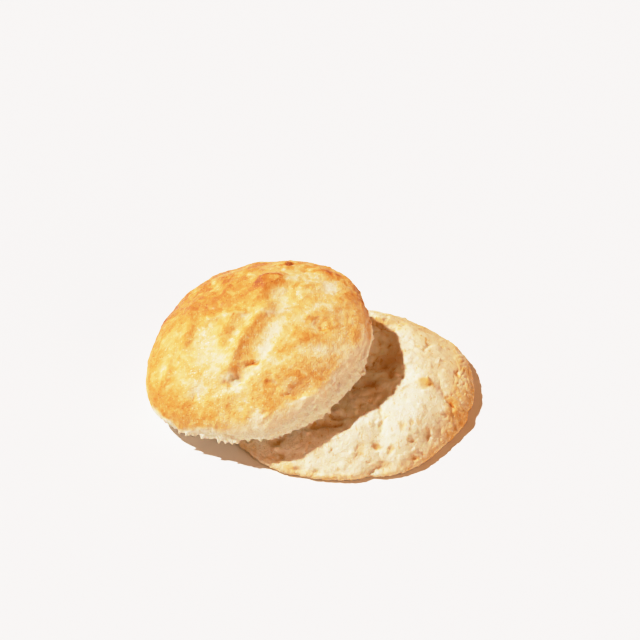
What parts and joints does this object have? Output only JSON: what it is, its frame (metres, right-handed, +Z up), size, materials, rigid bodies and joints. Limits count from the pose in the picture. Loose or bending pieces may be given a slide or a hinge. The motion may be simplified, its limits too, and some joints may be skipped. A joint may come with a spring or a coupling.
{
  "type": "split buttermilk biscuit",
  "caption": "Round baked biscuit pulled in two: a flat lower half with its torn crumb face up, and an upper half with a browned, blistered crust that lies slanting on it.",
  "frame": {"origin": "middle of the flat baked base of the lower half, on the surface it lies on", "axes": "+Z up, +X to the right in the picture, from the raised upper half towards the open torn face, +Y away from the picture's viewer"},
  "size_m": [0.1151, 0.0888, 0.0386],
  "materials": {
    "crumb": "soft torn crumb, cream, with a golden baked side and base",
    "crust": "buttered golden crust, mottled from cream to brown, half gloss"
  },
  "bodies": {
    "root": {"lower_half": "crumb", "upper_half": "crust"}
  },
  "joints": []
}
